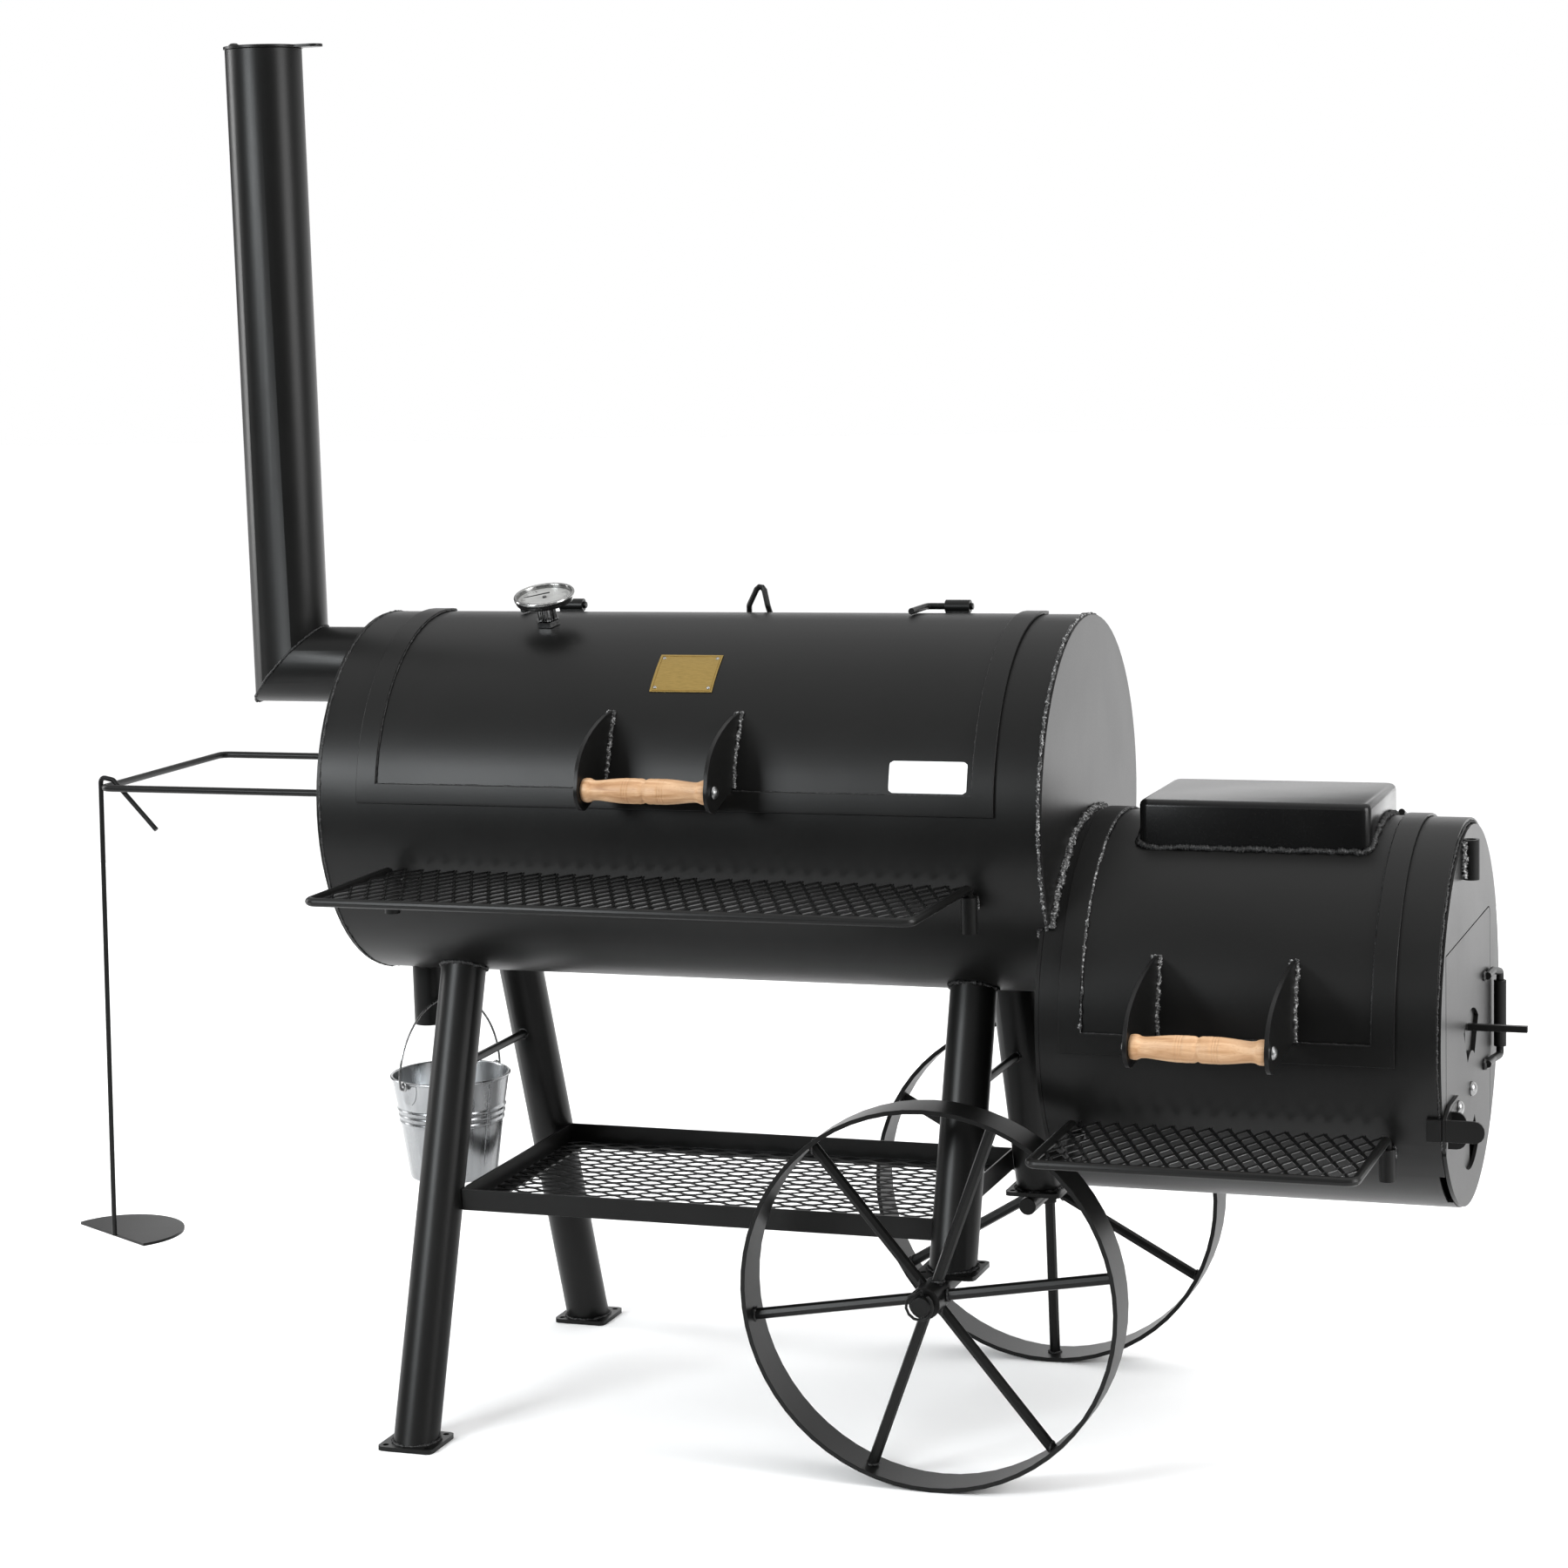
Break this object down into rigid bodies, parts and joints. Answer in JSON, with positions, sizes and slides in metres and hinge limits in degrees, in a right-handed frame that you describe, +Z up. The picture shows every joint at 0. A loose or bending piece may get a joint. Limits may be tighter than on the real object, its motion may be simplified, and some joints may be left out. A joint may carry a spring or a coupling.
{
  "type": "offset barrel smoker grill",
  "caption": "Offset barrel smoker: long lidded chamber on four splayed legs with two spoked wheels, lower firebox with door, chimney, lift-out shelves and hanging bucket.",
  "frame": {"origin": "middle of the bounding box's footprint, on the ground", "axes": "+X runs along both barrels from the chimney to the firebox, -Y is the side the cook stands on, +Z is up"},
  "size_m": [2.0962, 0.871, 1.9222],
  "materials": {
    "chamber_barrel": "satin black high-temperature paint",
    "chamber_end_left": "satin black high-temperature paint",
    "chamber_end_right": "satin black high-temperature paint",
    "chamber_knuckle_left": "satin black high-temperature paint",
    "chamber_knuckle_right": "satin black high-temperature paint",
    "drain_pipe": "satin black high-temperature paint",
    "chimney_pipe": "satin black high-temperature paint",
    "chimney_cap_bolt": "satin black high-temperature paint",
    "pull_frame": "satin black high-temperature paint",
    "leg_front_left": "satin black high-temperature paint",
    "leg_front_right": "satin black high-temperature paint",
    "leg_rear_left": "satin black high-temperature paint",
    "leg_rear_right": "satin black high-temperature paint",
    "cross_rod_left": "satin black high-temperature paint",
    "cross_rod_right": "satin black high-temperature paint",
    "lower_rack_frame": "satin black high-temperature paint",
    "lower_rack_mesh": "satin black high-temperature paint",
    "axle_front": "satin black high-temperature paint",
    "axle_rear": "satin black high-temperature paint",
    "firebox_barrel": "satin black high-temperature paint",
    "firebox_end_left": "satin black high-temperature paint",
    "firebox_end_right": "satin black high-temperature paint",
    "firebox_knuckle": "satin black high-temperature paint",
    "door_knuckle": "satin black high-temperature paint",
    "chamber_lid": "satin black high-temperature paint",
    "chamber_lid_fin_left": "satin black high-temperature paint",
    "chamber_lid_fin_right": "satin black high-temperature paint",
    "chamber_lid_grip": "turned pale beech, oiled",
    "chamber_grip_bolt": "galvanised or zinc plated steel",
    "chamber_hinge_pin_left": "satin black high-temperature paint",
    "chamber_hinge_pin_right": "satin black high-temperature paint",
    "thermometer_case": "polished stainless bezel",
    "name_plate": "thin brass sheet, blank",
    "thermometer_needle": "satin black high-temperature paint",
    "firebox_lid": "satin black high-temperature paint",
    "firebox_lid_fin_left": "satin black high-temperature paint",
    "firebox_lid_fin_right": "satin black high-temperature paint",
    "firebox_lid_grip": "turned pale beech, oiled",
    "firebox_grip_bolt": "galvanised or zinc plated steel",
    "firebox_hinge_pin": "satin black high-temperature paint",
    "hot_plate": "satin black high-temperature paint",
    "firebox_door": "satin black high-temperature paint",
    "door_hinge_pin": "satin black high-temperature paint",
    "door_latch": "satin black high-temperature paint",
    "air_shutter": "satin black high-temperature paint",
    "chimney_cap": "satin black high-temperature paint",
    "wheel_front": "satin black high-temperature paint",
    "wheel_rear": "satin black high-temperature paint",
    "linch_pin_front": "bare steel wire",
    "linch_pin_rear": "bare steel wire",
    "front_shelf_frame": "satin black high-temperature paint",
    "front_shelf_mesh": "satin black high-temperature paint",
    "firebox_shelf_frame": "satin black high-temperature paint",
    "firebox_shelf_mesh": "satin black high-temperature paint",
    "ash_rake": "satin black high-temperature paint",
    "bucket_bail": "bare steel wire",
    "bucket": "galvanised or zinc plated steel",
    "cooking_grate_left": "raw dark iron",
    "cooking_grate_right": "raw dark iron",
    "charcoal_grate": "raw dark iron"
  },
  "bodies": {
    "stand": {"chamber_barrel": "chamber_barrel", "chamber_end_left": "chamber_end_left", "chamber_end_right": "chamber_end_right", "chamber_knuckle_left": "chamber_knuckle_left", "chamber_knuckle_right": "chamber_knuckle_right", "drain_pipe": "drain_pipe", "chimney_pipe": "chimney_pipe", "chimney_cap_bolt": "chimney_cap_bolt", "pull_frame": "pull_frame", "leg_front_left": "leg_front_left", "leg_front_right": "leg_front_right", "leg_rear_left": "leg_rear_left", "leg_rear_right": "leg_rear_right", "cross_rod_left": "cross_rod_left", "cross_rod_right": "cross_rod_right", "lower_rack_frame": "lower_rack_frame", "lower_rack_mesh": "lower_rack_mesh", "axle_front": "axle_front", "axle_rear": "axle_rear", "firebox_barrel": "firebox_barrel", "firebox_end_left": "firebox_end_left", "firebox_end_right": "firebox_end_right", "firebox_knuckle": "firebox_knuckle", "door_knuckle": "door_knuckle"},
    "chamber_lid_group": {"chamber_lid": "chamber_lid", "chamber_lid_fin_left": "chamber_lid_fin_left", "chamber_lid_fin_right": "chamber_lid_fin_right", "chamber_lid_grip": "chamber_lid_grip", "chamber_grip_bolt": "chamber_grip_bolt", "chamber_hinge_pin_left": "chamber_hinge_pin_left", "chamber_hinge_pin_right": "chamber_hinge_pin_right", "thermometer_case": "thermometer_case", "name_plate": "name_plate"},
    "needle": {"thermometer_needle": "thermometer_needle"},
    "firebox_lid_group": {"firebox_lid": "firebox_lid", "firebox_lid_fin_left": "firebox_lid_fin_left", "firebox_lid_fin_right": "firebox_lid_fin_right", "firebox_lid_grip": "firebox_lid_grip", "firebox_grip_bolt": "firebox_grip_bolt", "firebox_hinge_pin": "firebox_hinge_pin", "hot_plate": "hot_plate"},
    "door_group": {"firebox_door": "firebox_door", "door_hinge_pin": "door_hinge_pin"},
    "latch": {"door_latch": "door_latch"},
    "shutter": {"air_shutter": "air_shutter"},
    "cap": {"chimney_cap": "chimney_cap"},
    "front_wheel": {"wheel_front": "wheel_front"},
    "rear_wheel": {"wheel_rear": "wheel_rear"},
    "front_linch_pin": {"linch_pin_front": "linch_pin_front"},
    "rear_linch_pin": {"linch_pin_rear": "linch_pin_rear"},
    "front_shelf": {"front_shelf_frame": "front_shelf_frame", "front_shelf_mesh": "front_shelf_mesh"},
    "firebox_shelf": {"firebox_shelf_frame": "firebox_shelf_frame", "firebox_shelf_mesh": "firebox_shelf_mesh"},
    "rake": {"ash_rake": "ash_rake"},
    "bail": {"bucket_bail": "bucket_bail"},
    "bucket_body": {"bucket": "bucket"},
    "left_cooking_grate": {"cooking_grate_left": "cooking_grate_left"},
    "right_cooking_grate": {"cooking_grate_right": "cooking_grate_right"},
    "fire_grate": {"charcoal_grate": "charcoal_grate"}
  },
  "joints": [
    {"name": "chamber_lid_hinge", "type": "hinge", "parent": "stand", "child": "chamber_lid_group", "pos_m": [-0.04245, 0.1387, 1.1227], "axis": [-1, 0, 0], "range_deg": [0, 95]},
    {"name": "thermometer_needle_turn", "type": "hinge", "parent": "chamber_lid_group", "child": "needle", "pos_m": [-0.27845, 0.00097, 1.1508], "axis": [0, -0.2756, 0.9613], "range_deg": [-120, 120]},
    {"name": "firebox_lid_hinge", "type": "hinge", "parent": "stand", "child": "firebox_lid_group", "pos_m": [0.71505, 0.21222, 0.83221], "axis": [-1, 0, 0], "range_deg": [0, 95]},
    {"name": "firebox_door_hinge", "type": "hinge", "parent": "stand", "child": "door_group", "pos_m": [0.98645, 0.2735, 0.56], "axis": [0, 0, 1], "range_deg": [0, 110]},
    {"name": "door_latch_turn", "type": "hinge", "parent": "door_group", "child": "latch", "pos_m": [0.97605, -0.0585, 0.505], "axis": [1, 0, 0], "range_deg": [-70, 70]},
    {"name": "air_shutter_turn", "type": "hinge", "parent": "door_group", "child": "shutter", "pos_m": [0.97605, 0.0835, 0.498], "axis": [1, 0, 0], "range_deg": [-26, 34]},
    {"name": "chimney_cap_swivel", "type": "hinge", "parent": "stand", "child": "cap", "pos_m": [-0.75845, 0.0835, 1.9113], "axis": [0, 0, 1], "range_deg": [0, 150]},
    {"name": "front_wheel_roll", "type": "hinge", "parent": "stand", "child": "front_wheel", "pos_m": [0.32305, -0.2085, 0.255], "axis": [0, 1, 0], "continuous": true},
    {"name": "rear_wheel_roll", "type": "hinge", "parent": "stand", "child": "rear_wheel", "pos_m": [0.32305, 0.3755, 0.255], "axis": [0, 1, 0], "continuous": true},
    {"name": "front_linch_pin_pull", "type": "slide", "parent": "stand", "child": "front_linch_pin", "axis": [0, 0, 1], "range_m": [0, 0.045]},
    {"name": "rear_linch_pin_pull", "type": "slide", "parent": "stand", "child": "rear_linch_pin", "axis": [0, 0, 1], "range_m": [0, 0.045]},
    {"name": "front_shelf_lift", "type": "slide", "parent": "stand", "child": "front_shelf", "axis": [0, 0, 1], "range_m": [0, 0.045]},
    {"name": "firebox_shelf_lift", "type": "slide", "parent": "stand", "child": "firebox_shelf", "axis": [0, 0, 1], "range_m": [0, 0.03]},
    {"name": "ash_rake_lift", "type": "slide", "parent": "stand", "child": "rake", "axis": [0, 0, 1], "range_m": [0, 0.05]},
    {"name": "bail_swing", "type": "hinge", "parent": "stand", "child": "bail", "pos_m": [-0.48895, 0.0835, 0.5555], "axis": [1, 0, 0], "range_deg": [-12, 12]},
    {"name": "bucket_swing", "type": "hinge", "parent": "bail", "child": "bucket_body", "pos_m": [-0.48895, 0.0835, 0.4445], "axis": [0.4067, 0.9136, 0], "range_deg": [-12, 12]},
    {"name": "left_cooking_grate_lift", "type": "slide", "parent": "stand", "child": "left_cooking_grate", "axis": [0, 0, 1], "range_m": [0, 0.1]},
    {"name": "right_cooking_grate_lift", "type": "slide", "parent": "stand", "child": "right_cooking_grate", "axis": [0, 0, 1], "range_m": [0, 0.1]},
    {"name": "charcoal_grate_lift", "type": "slide", "parent": "stand", "child": "fire_grate", "axis": [0, 0, 1], "range_m": [0, 0.1]}
  ]
}
